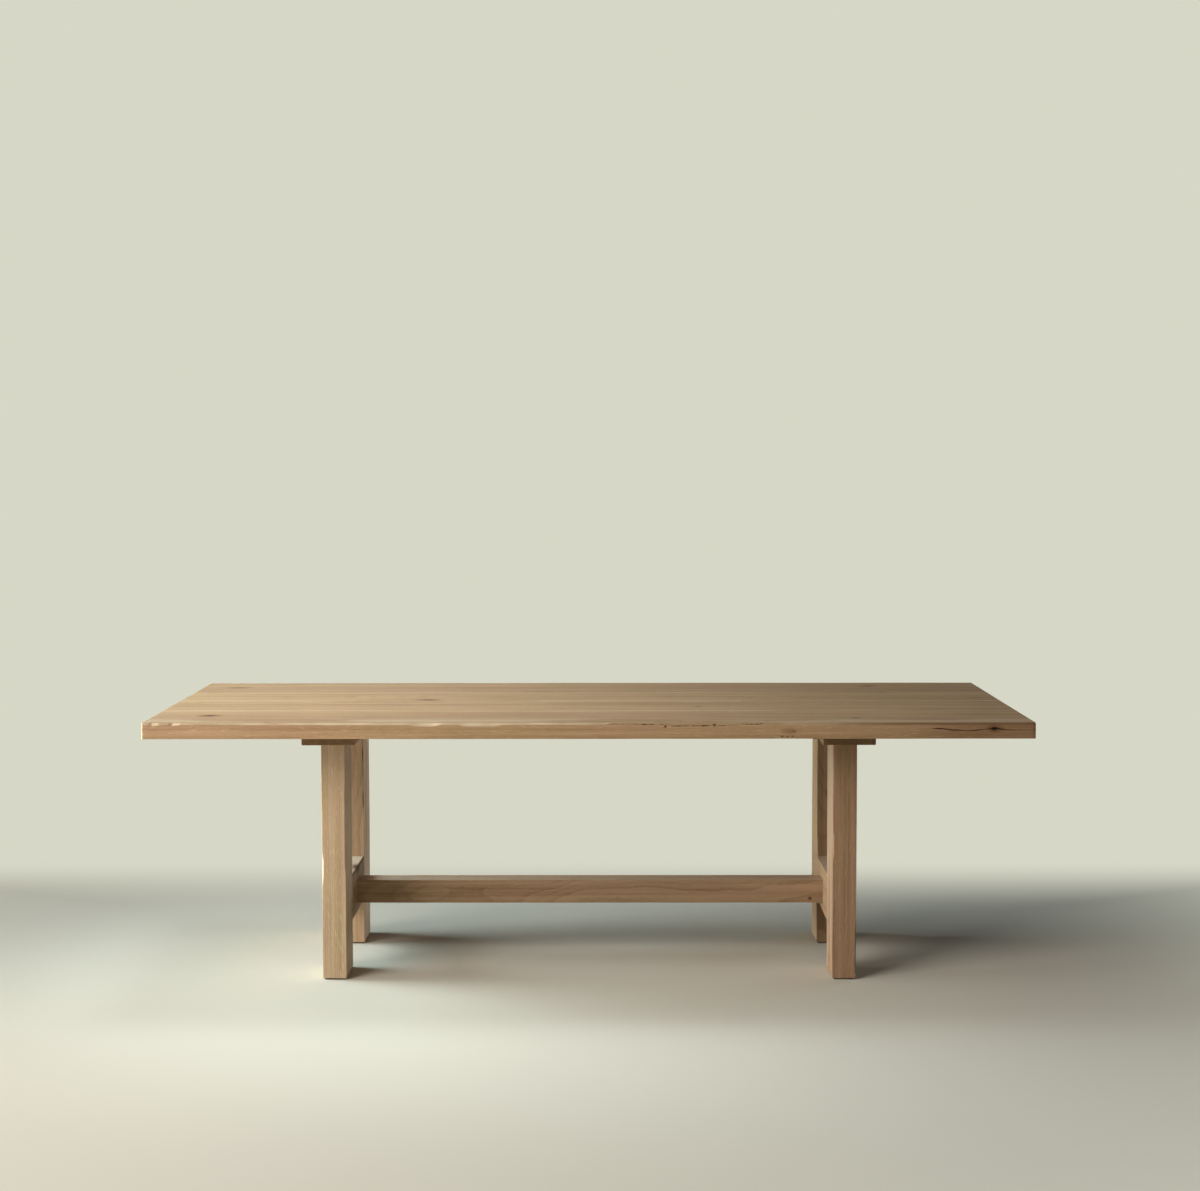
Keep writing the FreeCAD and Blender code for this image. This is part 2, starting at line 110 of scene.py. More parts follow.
class Shader:
    """A node tree, with short calls for the nodes that these materials use."""

    def __init__(self, tree):
        self.tree = tree

    def add(self, kind, **settings):
        node = self.tree.nodes.new("ShaderNode" + kind)
        for name, value in settings.items():
            setattr(node, name, value)
        return node

    def feed(self, socket, value):
        """Links a socket to another one, or sets it to a number, vector or colour."""
        if isinstance(value, bpy.types.NodeSocket):
            self.tree.links.new(value, socket)
        elif socket.type == "RGBA" and len(value) == 3:
            socket.default_value = (*value, 1.0)
        else:
            socket.default_value = value

    def math(self, operation, *values, clamp=False):
        node = self.add("Math", operation=operation, use_clamp=clamp)
        for socket, value in zip(node.inputs, values):
            self.feed(socket, value)
        return node.outputs[0]

    def vector(self, operation, first, second=None, scale=None):
        node = self.add("VectorMath", operation=operation)
        self.feed(node.inputs[0], first)
        if second is not None:
            self.feed(node.inputs[1], second)
        if scale is not None:
            self.feed(node.inputs["Scale"], scale)
        return node.outputs["Value" if operation in ("LENGTH", "DOT_PRODUCT") else "Vector"]

    def parts(self, vector):
        node = self.add("SeparateXYZ")
        self.feed(node.inputs[0], vector)
        return node.outputs[0], node.outputs[1], node.outputs[2]

    def join(self, x, y, z):
        node = self.add("CombineXYZ")
        for socket, value in zip(node.inputs, (x, y, z)):
            self.feed(socket, value)
        return node.outputs[0]

    def noise(self, place, scale, detail=2.0, roughness=0.5, output="Fac"):
        node = self.add("TexNoise", noise_dimensions="3D")
        self.feed(node.inputs["Vector"], self.vector("MULTIPLY", place, scale))
        node.inputs["Scale"].default_value = 1.0
        node.inputs["Detail"].default_value = detail
        node.inputs["Roughness"].default_value = roughness
        return node.outputs[output]

    def smooth(self, value, low, high, to_low=0.0, to_high=1.0):
        """A smooth step of value from low to high."""
        node = self.add("MapRange", interpolation_type="SMOOTHSTEP")
        for name, number in (
            ("Value", value), ("From Min", low), ("From Max", high),
            ("To Min", to_low), ("To Max", to_high),
        ):
            self.feed(node.inputs[name], number)
        return node.outputs["Result"]

    def mix(self, share, first, second, blend="MIX"):
        node = self.add("Mix", data_type="RGBA", blend_type=blend)
        for name, value in (("Factor_Float", share), ("A_Color", first), ("B_Color", second)):
            self.feed(next(socket for socket in node.inputs if socket.identifier == name), value)
        return next(socket for socket in node.outputs if socket.identifier == "Result_Color")

    def centred(self, value, strength, middle=0.0):
        """A noise value moved to swing about middle by strength."""
        return self.math("MULTIPLY_ADD", value, strength, middle - strength / 2)

    def finish(self, colour, roughness, height=None, depth=0.0003, strength=0.4, **settings):
        """Ends the tree in a plain shader with a colour, a roughness and a height."""
        surface = self.add("BsdfPrincipled")
        self.feed(surface.inputs["Base Color"], colour)
        self.feed(surface.inputs["Roughness"], roughness)
        for name, value in settings.items():
            self.feed(surface.inputs[name.replace("_", " ")], value)
        if height is not None:
            bump = self.add("Bump")
            bump.inputs["Strength"].default_value = strength
            bump.inputs["Distance"].default_value = depth
            self.feed(bump.inputs["Height"], height)
            self.feed(surface.inputs["Normal"], bump.outputs[0])
        out = self.add("OutputMaterial")
        self.feed(out.inputs["Surface"], surface.outputs[0])


def new_material(name):
    material = bpy.data.materials.new(name)
    material.use_nodes = True
    material.node_tree.nodes.clear()
    return material, Shader(material.node_tree)


# ---------------------------------------------------------------- oak

# The grain's own axis, and the two that follow it.
AXES = {"X": (0, 1, 2), "Y": (1, 2, 0), "Z": (2, 0, 1)}

SEED_STRIDE = 7.31
RING_WIDTH = 0.0034
RING_UNEVENNESS = 5.0
RAY_THICKNESS = 0.0007
RAY_SQUEEZE = 0.16
QUARTER_GAIN = 0.22
YELLOW_CAST = (0.99, 1.015, 0.98)
PINK_CAST = (1.01, 0.985, 1.02)
DUST_AND_LIGHT_PATCHINESS = 0.9
OAK_ROUGHNESS, ROUGHNESS_SWING = 0.74, 0.14
PORE_ROUGHNESS, RAY_ROUGHNESS, WORN_ROUGHNESS = 0.2, -0.10, -0.06
FIBRE_HEIGHT, PORE_HEIGHT, EARLY_HEIGHT = 0.5, -0.8, -0.25
OAK_SPECULAR = 0.12

# A knot's black core, its red rim and its pull on the grain, in shares of the knot's own size.
KNOT_RAGGEDNESS = 0.7
KNOT_CORE = (0.55, 1.05)
KNOT_RIM = (0.9, 2.6)
KNOT_PULL = -0.28

# The size of each noise in the wood, as waves per metre along the grain and across it.
WANDER, WAVER = (0.75, 1.6), (4.0, 9.0)
BANDS, STRIPES, STREAKS, LINES = (0.40, 24.0), (1.1, 75.0), (3.0, 210.0), (0.8, 52.0)
FIBRES, PORES, CLOUD = (14.0, 900.0), (55.0, 2300.0), (5.0, 9.0)
BLUSH, SAP_PATCHES = (3.5, 26.0), (1.6, 9.0)

# How far the log's axis wanders, in metres.
WANDER_REACH, WAVER_REACH = 0.13, 0.010

# The average share of LIGHT_OAK, and how far each feature moves it. The first four follow the figure.
LIGHT_SHARE = 0.62
BAND_SWING, STRIPE_SWING, STREAK_SWING, LINE_SWING = 1.05, 0.60, 0.80, 0.30
FIBRE_SWING, CLOUD_SWING, YEAR_SWING, EARLY_SWING, LATE_SWING = 0.55, 0.40, 0.16, -0.15, 0.05

# How strongly each feature's own colour covers the wood.
PORE_COVER, RAY_COVER, SAP_COVER, WORN_COVER, FRESH_COVER = 0.60, 0.34, 0.52, 0.32, 0.75


def unit(axis):
    return tuple(1.0 if index == AXES[axis][0] else 0.0 for index in range(3))


def knot_shape(sh, place, knot, grain):
    """The core and the darker rim of a knot, and how far the grain around it is pushed aside."""
    away = sh.vector("SUBTRACT", place, knot.at)
    across = next(axis for axis in "XYZ" if axis not in (grain, knot.axis))
    shrink = [1.0 / knot.deep] * 3
    shrink[AXES[grain][0]] = 1.0 / (knot.size * knot.long)
    shrink[AXES[across][0]] = 1.0 / knot.size
    ragged = sh.noise(place, (160.0, 160.0, 160.0), 2.0)
    reach = sh.math("ADD", sh.vector("LENGTH", sh.vector("MULTIPLY", away, tuple(shrink))),
                    sh.centred(ragged, KNOT_RAGGEDNESS))
    core = sh.smooth(reach, *KNOT_CORE, 1.0, 0.0)
    rim = sh.smooth(reach, *KNOT_RIM, 1.0, 0.0)
    pull = sh.math("EXPONENT", sh.math("MULTIPLY", sh.math("POWER", reach, 2.0), KNOT_PULL))
    sideways = sh.vector("MULTIPLY", away, unit(across))
    push = sh.vector("SCALE", sideways, scale=sh.math("MULTIPLY", pull, -1.0))
    return core, rim, push


def oak_material(name, grain, pith, seed, tone=(1.0, 1.0, 1.0), knots=(), pale_edges=(), figure=1.0,
                 dust_and_top_light=0.0):
    """Solid oak. grain is the axis that the member's grain follows, and pith the place of the log's
    heart, in the two axes that follow the grain's. pale_edges are places across it where sapwood shows,
    figure is the strength of its stripes, and dust_and_top_light how much pale colour lies on its upper
    side: partly a dusty film, and partly painted light that brightens the faces looking up."""
    material, sh = new_material(name)
    place = sh.add("TexCoord").outputs["Object"]
    board = place
    cores = []
    for knot in knots:
        core, rim, push = knot_shape(sh, place, knot, grain)
        board = sh.vector("ADD", board, push)
        cores.append((knot, core, rim))
    turned = sh.parts(board)
    along, first, second = (turned[index] for index in AXES[grain])
    along = sh.math("ADD", along, seed * SEED_STRIDE)
    board = sh.join(along, first, second)

    def grained(size, *settings):
        """A noise that is stretched along the grain."""
        lengthwise, crosswise = size
        return sh.noise(board, (lengthwise, crosswise, crosswise), *settings)

    # The log's axis wanders slowly, which makes the arches on a flat sawn face.
    wander = sh.vector("SUBTRACT", grained(WANDER, 2.0, 0.45, "Color"), (0.5, 0.5, 0.5))
    waver = sh.vector("SUBTRACT", grained(WAVER, 2.0, 0.5, "Color"), (0.5, 0.5, 0.5))
    heart = sh.vector("ADD", sh.vector("SCALE", wander, scale=WANDER_REACH),
                      sh.vector("SCALE", waver, scale=WAVER_REACH))
    heart = sh.vector("ADD", sh.vector("SUBTRACT", board, (0.0, *pith)), heart)
    _, east, north = sh.parts(heart)
    radius = sh.vector("LENGTH", sh.join(0.0, east, north))
    turn = sh.math("ARCTAN2", east, north)

    growth = sh.noise(sh.join(radius, seed, 0.0), (38.0, 1.0, 1.0), 2.0)
    rings = sh.math("ADD", sh.math("DIVIDE", radius, RING_WIDTH),
                    sh.math("MULTIPLY", growth, RING_UNEVENNESS))
    ring = sh.math("FRACT", rings)
    year = sh.add("TexWhiteNoise", noise_dimensions="1D")
    sh.feed(year.inputs["W"], sh.math("ADD", sh.math("FLOOR", rings), seed))
    early = sh.smooth(ring, 0.0, 0.50, 1.0, 0.0)
    late = sh.smooth(ring, 0.55, 0.98)

    bands = grained(BANDS, 3.0, 0.6)
    stripes = grained(STRIPES, 2.0)
    streaks = grained(STREAKS, 3.0)
    lines = grained(LINES, 1.0)
    fibres = grained(FIBRES, 2.0)
    pores = grained(PORES, 1.0)
    pore = sh.math("MULTIPLY", sh.smooth(pores, 0.55, 0.66), sh.math("MULTIPLY_ADD", early, 0.85, 0.15))
    cloud = grained(CLOUD, 3.0)

    share = sh.centred(bands, BAND_SWING * figure, LIGHT_SHARE)
    share = sh.math("ADD", share, sh.centred(stripes, STRIPE_SWING * figure))
    share = sh.math("ADD", share, sh.centred(streaks, STREAK_SWING * figure))
    share = sh.math("MULTIPLY_ADD", sh.smooth(lines, 0.60, 0.67), LINE_SWING * figure, share)
    share = sh.math("MULTIPLY_ADD", sh.smooth(lines, 0.40, 0.33), -LINE_SWING * figure, share)
    share = sh.math("ADD", share, sh.centred(fibres, FIBRE_SWING))
    share = sh.math("ADD", share, sh.centred(cloud, CLOUD_SWING))
    share = sh.math("ADD", share, sh.centred(year.outputs["Value"], YEAR_SWING))
    share = sh.math("MULTIPLY_ADD", early, EARLY_SWING, share)
    share = sh.math("MULTIPLY_ADD", late, LATE_SWING, share, clamp=True)
    colour = sh.mix(share, DARK_OAK, LIGHT_OAK)
    blush = sh.smooth(grained(BLUSH, 2.0), 0.40, 0.60)
    colour = sh.mix(1.0, colour, sh.mix(blush, YELLOW_CAST, PINK_CAST), "MULTIPLY")
    colour = sh.mix(sh.math("MULTIPLY", pore, PORE_COVER), colour, PORE_OAK)

    # Rays: thin sheets along the grain and the radius, which show as flecks where the cut meets them.
    sheets = sh.join(along, radius, sh.math("MULTIPLY", turn, RAY_SQUEEZE))
    rays = sh.noise(sheets, (34.0, 62.0, 1.0 / RAY_THICKNESS), 1.0)
    ray = sh.smooth(rays, 0.62, 0.70)
    colour = sh.mix(sh.math("MULTIPLY", ray, RAY_COVER), colour, SAP_OAK)

    for edge, width in pale_edges:
        gap = sh.math("ABSOLUTE", sh.math("SUBTRACT", first, edge))
        near = sh.smooth(gap, width * 0.35, width, 1.0, 0.0)
        shows = sh.smooth(grained(SAP_PATCHES, 2.0), 0.43, 0.53)
        pale = sh.math("MULTIPLY", near, shows)
        colour = sh.mix(sh.math("MULTIPLY", pale, SAP_COVER), colour, SAP_OAK)
    if dust_and_top_light:
        # Pale colour on the faces that look up: partly a dusty film, partly painted light that
        # brightens them.
        facing_up = sh.smooth(sh.parts(sh.add("TexCoord").outputs["Normal"])[2], 0.85, 0.97)
        speckle = sh.noise(place, (230.0, 230.0, 230.0), 3.0, 0.7)
        speckle = sh.centred(speckle, DUST_AND_LIGHT_PATCHINESS, dust_and_top_light)
        colour = sh.mix(sh.math("MULTIPLY", facing_up, speckle, clamp=True), colour, DUST_AND_TOP_LIGHT)
    for knot, core, rim in cores:
        colour = sh.mix(sh.math("MULTIPLY", rim, 0.30 + 0.45 * knot.dark), colour, KNOT_RED)
        colour = sh.mix(sh.math("MULTIPLY", core, knot.dark), colour, KNOT_BLACK)

    # The marks. The first darkens cracks, the knot hollow, bark lines and the staining round the crack,
    # and carries painted shade inside the cracks, on the chips' walls, at the front's ends and right
    # corner and along its arris's right half. The second pales bared and rubbed wood and carries a
    # painted highlight along the front arris and on its left tip. The third is wear.
    marks = sh.add("SeparateColor")
    sh.feed(marks.inputs[0], sh.add("Attribute", attribute_name="marks").outputs["Color"])
    crack, fresh_and_highlight, worn = marks.outputs
    colour = sh.mix(sh.math("MULTIPLY", worn, WORN_COVER), colour, WORN_OAK)
    colour = sh.mix(sh.math("MULTIPLY", fresh_and_highlight, FRESH_COVER), colour, FRESH_OAK)
    colour = sh.mix(sh.smooth(crack, 0.0, 0.5, 0.0, 0.8), colour, KNOT_RED)
    colour = sh.mix(sh.smooth(crack, 0.35, 0.9), colour, KNOT_BLACK)

    # A face sawn along the radius is paler than one sawn along the rings, and the ends are darker.
    normals = sh.parts(sh.add("TexCoord").outputs["Normal"])
    outward = sh.join(*(normals[index] for index in AXES[grain]))
    end_grain = sh.smooth(sh.math("ABSOLUTE", sh.parts(outward)[0]), 0.6, 0.95)
    across_rings = sh.vector("DOT_PRODUCT", outward, sh.vector("NORMALIZE", sh.join(0.0, east, north)))
    flat_sawn = sh.math("ABSOLUTE", across_rings)
    quarter = sh.math("MULTIPLY_ADD", flat_sawn, -QUARTER_GAIN, 1.0 + QUARTER_GAIN / 2)
    ends = sh.mix(sh.math("MULTIPLY_ADD", early, 0.4, 0.5), colour, END_OAK)
    colour = sh.mix(end_grain, sh.vector("SCALE", colour, scale=quarter), ends)
    colour = sh.mix(1.0, colour, tone, "MULTIPLY")

    roughness = sh.math("ADD", sh.centred(streaks, ROUGHNESS_SWING, OAK_ROUGHNESS),
                        sh.math("MULTIPLY", pore, PORE_ROUGHNESS))
    roughness = sh.math("MULTIPLY_ADD", ray, RAY_ROUGHNESS, roughness)
    roughness = sh.math("MULTIPLY_ADD", worn, WORN_ROUGHNESS, roughness)
    height = sh.math("MULTIPLY_ADD", pore, PORE_HEIGHT, sh.math("MULTIPLY", fibres, FIBRE_HEIGHT))
    height = sh.math("MULTIPLY_ADD", early, EARLY_HEIGHT, height)
    sh.finish(colour, roughness, height, Specular_IOR_Level=OAK_SPECULAR)
    return material


# ---------------------------------------------------------------- timber shapes

# ARC_STEPS is how many faces an arris has round it, GUARD how close to it a face's outer rows lie, and
# HANDWORK how deep the unevenness of a planed face goes. END_STEPS divides the last stretch before an
# end.
ARC_STEPS = 6
GUARD = 0.0006
HANDWORK = 0.00022
WAVE_COUNT = 7
WAVE_PEAK = 3.6
SHORTEST_STEP = 0.0004
END_STEPS = (0.0, 0.06, 0.18, 0.36, 0.62)


def smooth_step(value, low, high):
    share = np.clip((value - low) / (high - low), 0.0, 1.0)
    return share * share * (3.0 - 2.0 * share)


def stretch(place, start, end, ease):
    """1 from start to end, and down to 0 within ease on both sides."""
    return smooth_step(place, start - ease, start) * (1.0 - smooth_step(place, end, end + ease))


def waves(size, seed, *places):
    """A gentle pattern between about -1 and 1 over one or more directions."""
    draw = np.random.default_rng(seed)
    total = 0.0
    for _ in range(WAVE_COUNT):
        swing = draw.uniform(0.0, 2.0 * math.pi)
        for place in places:
            swing = swing + place * draw.uniform(-1.0, 1.0) * 2.0 * math.pi / size
        total = total + np.sin(swing)
    return total / WAVE_PEAK


def stations(low, high, step, close_ups=(), end_reach=0.005):
    """Places along the grain: close at both ends, step apart between, closer in each close-up,
    which is a start, an end and its own step."""
    places = [low + end_reach]
    while places[-1] < high - end_reach:
        here = places[-1]
        pace = min([step] + [fine for start, end, fine in close_ups if start <= here <= end])
        ahead = [start - here for start, end, fine in close_ups if here < start < here + pace]
        places.append(here + min([pace] + [max(gap, SHORTEST_STEP) for gap in ahead]))
    places[-1] = high - end_reach
    ends = end_reach * np.array(END_STEPS)
    return np.concatenate([low + ends, places, high - ends[::-1]])


def even_rows(count, width):
    """Shares of a face's width: count rows between two that lie close to its arrises."""
    guard = GUARD / width
    return np.concatenate([[guard], np.linspace(0.0, 1.0, count + 2)[1:-1], [1.0 - guard]])


def section_points(low, high, radii, flats, rows):
    """The points of the rounded section at every station, and their outward normals and place on an
    arris. The four corners come in turn from (+, +) through (-, +), (-, -) and (+, -), and each is
    followed by its face. flats turns an arris from round, at 0, to a chamfer, at 1, or a scoop,
    above 1."""
    count = len(radii[0])
    corners = ((high[0], high[1], -1, -1), (low[0], high[1], 1, -1),
               (low[0], low[1], 1, 1), (high[0], low[1], -1, 1))
    arcs, normals, shares = [], [], []
    for index, (first, second, inward_first, inward_second) in enumerate(corners):
        turn = math.pi / 2 * (index + np.linspace(0.0, 1.0, ARC_STEPS + 1))
        normal = np.stack([np.cos(turn), np.sin(turn)], -1)
        radius = radii[index][:, None, None]
        centre = np.array([first, second]) + radius * np.array([inward_first, inward_second])
        arc = centre + radius * normal
        chord = arc[:, :1] + (arc[:, -1:] - arc[:, :1]) * np.linspace(0.0, 1.0, ARC_STEPS + 1)[:, None]
        arcs.append(arc + (chord - arc) * flats[index][:, None, None])
        normals.append(np.broadcast_to(normal, arc.shape))
        shares.append(np.broadcast_to(np.sin(np.linspace(0.0, math.pi, ARC_STEPS + 1)), arc.shape[:2]))
    points, outward, arris = [], [], []
    for index in range(4):
        points.append(arcs[index])
        outward.append(normals[index])
        arris.append(shares[index])
        begin, end = arcs[index][:, -1:], arcs[(index + 1) % 4][:, :1]
        share = np.broadcast_to(rows[index], (count, np.shape(rows[index])[-1]))
        points.append(begin + (end - begin) * share[..., None])
        outward.append(np.broadcast_to(normals[index][0, -1], points[-1].shape))
        arris.append(np.zeros(share.shape))
    return np.concatenate(points, 1), np.concatenate(outward, 1), np.concatenate(arris, 1)


def timber(name, low, high, grain, along, radii, rows, end_radii, seed, flats=None, carve=None):
    """One straight piece of wood, from its low corner to its high one. end_radii rounds its ends
    towards the faces +first, +second, -first and -second. carve gives the depths and marks of its own
    features. The marks that the oak reads are its crack darkening, partly painted shade, its pale bared
    wood, partly a painted highlight, and its wear."""
    axis, first, second = AXES[grain]
    count = len(along)
    radii = [np.broadcast_to(radius, (count,)) for radius in radii]
    flats = [np.broadcast_to(flat, (count,)) for flat in (flats or (0.0,) * 4)]
    points, outward, arris = section_points(
        (low[first], low[second]), (high[first], high[second]), radii, flats, rows)
    towards = np.stack([np.maximum(outward[..., 0], 0), np.maximum(outward[..., 1], 0),
                        np.maximum(-outward[..., 0], 0), np.maximum(-outward[..., 1], 0)], -1)
    rounding = (towards ** 2 * np.array(end_radii)).sum(-1)
    from_end = np.minimum(along - low[axis], high[axis] - along)[:, None]
    short = np.clip(rounding - from_end, 0.0, None)
    inset = rounding - np.sqrt(np.maximum(rounding ** 2 - short ** 2, 0.0))

    place = np.zeros((*points.shape[:2], 3))
    place[..., axis] = along[:, None]
    place[..., first] = points[..., 0]
    place[..., second] = points[..., 1]
    normal = np.zeros_like(place)
    normal[..., first] = outward[..., 0]
    normal[..., second] = outward[..., 1]
    marks = np.zeros((*points.shape[:2], 4))
    scuffed = 0.5 + 0.5 * waves(0.12, seed + 5, place[..., axis], place[..., first], place[..., second])
    at_end = np.divide(short, rounding, out=np.zeros_like(short), where=rounding > 0.0)
    marks[..., 2] = np.maximum(arris * scuffed, 1.2 * at_end * (1.0 - at_end) * (arris == 0.0))
    uneven = waves(0.35, seed, place[..., 0], place[..., 1], place[..., 2])
    sunk = HANDWORK * (1.0 + uneven).clip(0.0, 2.0)
    if carve:
        depth, crack, fresh_and_highlight = carve(place, normal, arris)
        sunk = sunk + depth
        marks[..., 0] = crack
        marks[..., 1] = fresh_and_highlight
    place -= normal * (inset + sunk)[..., None]
    return lofted(name, place, marks)


def lofted(name, place, marks):
    """A closed mesh through rings of points, with flat caps at both ends."""
    count, around = place.shape[:2]
    index = np.arange(count * around).reshape(count, around)
    following = np.roll(index, -1, axis=1)
    sides = np.stack([index[:-1], following[:-1], following[1:], index[1:]], -1).reshape(-1, 4)
    faces = sides.tolist() + [index[0][::-1].tolist(), index[-1].tolist()]
    mesh = bpy.data.meshes.new(name)
    mesh.from_pydata(place.reshape(-1, 3).tolist(), [], faces)
    mesh.polygons.foreach_set("use_smooth", [True] * len(sides) + [False, False])
    layer = mesh.attributes.new("marks", "FLOAT_COLOR", "POINT")
    layer.data.foreach_set("color", marks.reshape(-1))
    mesh.update()
    made = bpy.data.objects.new(name, mesh)
    bpy.context.scene.collection.objects.link(made)
    return made


# ---------------------------------------------------------------- the top

TOP_ARRIS = 0.0025
TOP_CORNER = 0.0045
JOINT_ARRIS = 0.0004

# The end crack runs through one of the front plank's knots. CRACK_LINE gives its height from there.
CRACK_KNOT = KNOTS["top_plank_front"][2]
KNOT_AT, _, CRACK_HEIGHT = CRACK_KNOT.at
CRACK_START, CRACK_END = 0.885, 1.21
CRACK_FULL = 1.05
CRACK_CLOSING, CRACK_CLOSES = (1.11, 1.15), 0.45
CRACK_MOUTH, MOUTH_REACH, MOUTH_GAIN = 0.930, 0.018, 0.20
CRACK_LINE = ((0.900, -0.0006), (0.945, 0.0), (0.975, -0.0036), (1.018, -0.0050), (1.042, -0.0046),
              (1.070, -0.0008), (1.0895, 0.0), (1.114, -0.0022), (1.140, -0.0038), (1.170, -0.0032),
              (1.200, -0.0018))
CRACK_OPEN, CRACK_DARK = 0.0010, 0.0020
CRACK_DEPTH, HOLLOW_DEPTH, BARK_DEPTH = 0.0016, 0.0022, 0.0005
TINY = 1e-6

# The front's darkenings: how dark each is, and between which two places along the table it comes up.
# The left ones are measured to the left. The halo is staining that lies around the crack; the darker
# ends, the right corner and the arris's darker right half are painted shade.
HALO, HALO_WIDTH, HALO_FROM = 0.16, 0.007, (0.99, 1.07)
DARK_END, DARK_END_FROM = 0.27, (0.78, 1.02)
LEFT_END_SHARE, LEFT_END_FROM = 0.45, (1.00, 1.14)
CORNER_SHADE, CORNER_FROM = 0.36, (1.186, 1.193)
ARRIS_SHADE, ARRIS_SHADE_GAIN, ARRIS_SHADE_FROM = 0.06, 0.34, (0.45, 0.95)

# The chips: start, length and depth. CHIP_SHADE is the share of a chip where it is deepest, and
# CHIP_PAINTED_SHADE how dark the painted shade is on the chip's wall before it.
CHIPS = ((-1.182, 0.032, 0.0076), (-1.129, 0.040, 0.0080))
CHIP_SHADE = 0.30
CHIP_FLATNESS = 0.35
CHIP_PAINTED_SHADE = 0.22

# The arris's radius where arms wear it and along the ragged stretch, its flatness, and how pale it is:
# rubbed pale by wear, with a painted highlight that fades towards the right. A dull stretch has a
# start, an end, an ease and what it takes from the paleness, and a dip a start, an end, an ease and
# what it adds to the radius. The left tip is measured to the left and carries a painted highlight.
WORN_ARRIS, SHARP_ARRIS = 0.0060, 0.0018
WORN_FLATNESS, FLATNESS_LOSS, FLATNESS_FROM = 0.90, 0.20, (0.50, 0.75)
RUBBED_PALE_AND_HIGHLIGHT, HIGHLIGHT_FADE, HIGHLIGHT_FADE_FROM = 1.05, 0.95, (0.10, 0.85)
RAGGED_START, RAGGED_END = 0.045, 0.50
DULL_STRETCHES = ((RAGGED_START, RAGGED_END, 0.05, 0.5), (-1.30, -0.86, 0.10, 0.45))
LEFT_TIP, LEFT_TIP_HIGHLIGHT = (1.1958, 1.1982), 0.9
DIPS = ((-0.455, -0.420, 0.028, 0.0042), (-0.332, -0.255, 0.024, 0.0046))

# The bark line's height along the table, and where it shows: start, end and strength.
BARK_LINE = ((0.050, 0.7468), (0.101, 0.7463), (0.117, 0.7455), (0.206, 0.7448), (0.218, 0.7413),
             (0.276, 0.7414), (0.334, 0.7424), (0.345, 0.7416), (0.372, 0.7420), (0.407, 0.7460),
             (0.462, 0.7457), (0.500, 0.7430))
BARK_REST = 0.743
BARK_WIDTH = 0.0027
BARK_DARKNESS = 0.86
BARK_SPANS = ((0.052, 0.101, 0.70), (0.118, 0.180, 0.85), (0.187, 0.205, 0.70), (0.220, 0.272, 0.75),
              (0.274, 0.332, 0.88), (0.346, 0.372, 0.70), (0.408, 0.462, 0.75))

# The front face's rows of points, by their distance above and below the crack and the bark line.
CRACK_ROWS = (0.0034, 0.0023, 0.0014, 0.0008, 0.0004, 0.0, -0.0004, -0.0008, -0.0014, -0.0023, -0.0034)
BARK_ROWS = (0.0026, 0.0018, 0.0011, 0.0005, 0.0, -0.0005, -0.0011, -0.0018, -0.0026)
CLOSEST_ROWS = 0.0001


def crack_height(x):
    places, offsets = zip(*CRACK_LINE)
    return CRACK_HEIGHT + np.interp(x, places, offsets) + 0.0004 * waves(0.05, 71, x)


def bark_height(x):
    places, heights = zip(*BARK_LINE)
    height = np.interp(x, places, heights, left=BARK_REST, right=BARK_REST)
    return height + 0.0003 * waves(0.02, 73, x)


def crack_width(x):
    """How open the end crack is, from 0 to 1 and a little more at its mouth."""
    opened = CRACK_FULL * smooth_step(x, CRACK_START + 0.020, CRACK_START + 0.060)
    opened = opened * (1.0 - CRACK_CLOSES * smooth_step(x, *CRACK_CLOSING))
    mouth = MOUTH_GAIN * np.exp(-((x - CRACK_MOUTH) / MOUTH_REACH) ** 2)
    return opened * ((0.80 + 0.25 * waves(0.05, 72, x)).clip(0.55, 1.0) + mouth)


def front_arris(x):
    """Radius and flatness of the arris that the diners' arms wear: wavy, with two dips and two chips,
    and sharp along the ragged stretch."""
    radius = WORN_ARRIS + 0.0005 * waves(0.22, 61, x) + 0.0003 * waves(0.05, 63, x)
    for start, end, ease, deep in DIPS:
        radius = radius + deep * stretch(x, start, end, ease)
    ragged = stretch(x, RAGGED_START + 0.02, RAGGED_END, 0.03)
    radius = radius + ragged * (SHARP_ARRIS - radius + 0.0004 * waves(0.05, 62, x))
    flat = WORN_FLATNESS - FLATNESS_LOSS * smooth_step(x, *FLATNESS_FROM)
    for start, length, deep in CHIPS:
        share = (x - start) / length
        profile = smooth_step(share, 0.0, CHIP_SHADE) * (1.0 - smooth_step(share, CHIP_SHADE, 1.0))
        radius = radius + (deep - WORN_ARRIS) * profile
        flat = flat + CHIP_FLATNESS * profile
    return radius, flat


def front_rows(x, arris_top, arris_bottom, low, high):
    """Rows of points on the front face, as shares of it: close to the bark line and the crack, and
    wider away from them."""
    begin, end = high - arris_top, low + arris_bottom
    crack = crack_height(x)
    heights = [begin - GUARD]
    for offset in BARK_ROWS:
        heights.append(np.minimum(bark_height(x) + offset, heights[-1] - CLOSEST_ROWS))
    heights.append((heights[-1] + crack + CRACK_ROWS[0]) / 2)
    heights += [crack + offset for offset in CRACK_ROWS]
    rest = end + GUARD - crack - CRACK_ROWS[-1]
    heights += [crack + CRACK_ROWS[-1] + rest * share for share in np.linspace(0, 1, 9)[1:]]
    return np.stack([(begin - height) / (begin - end) for height in heights], -1)


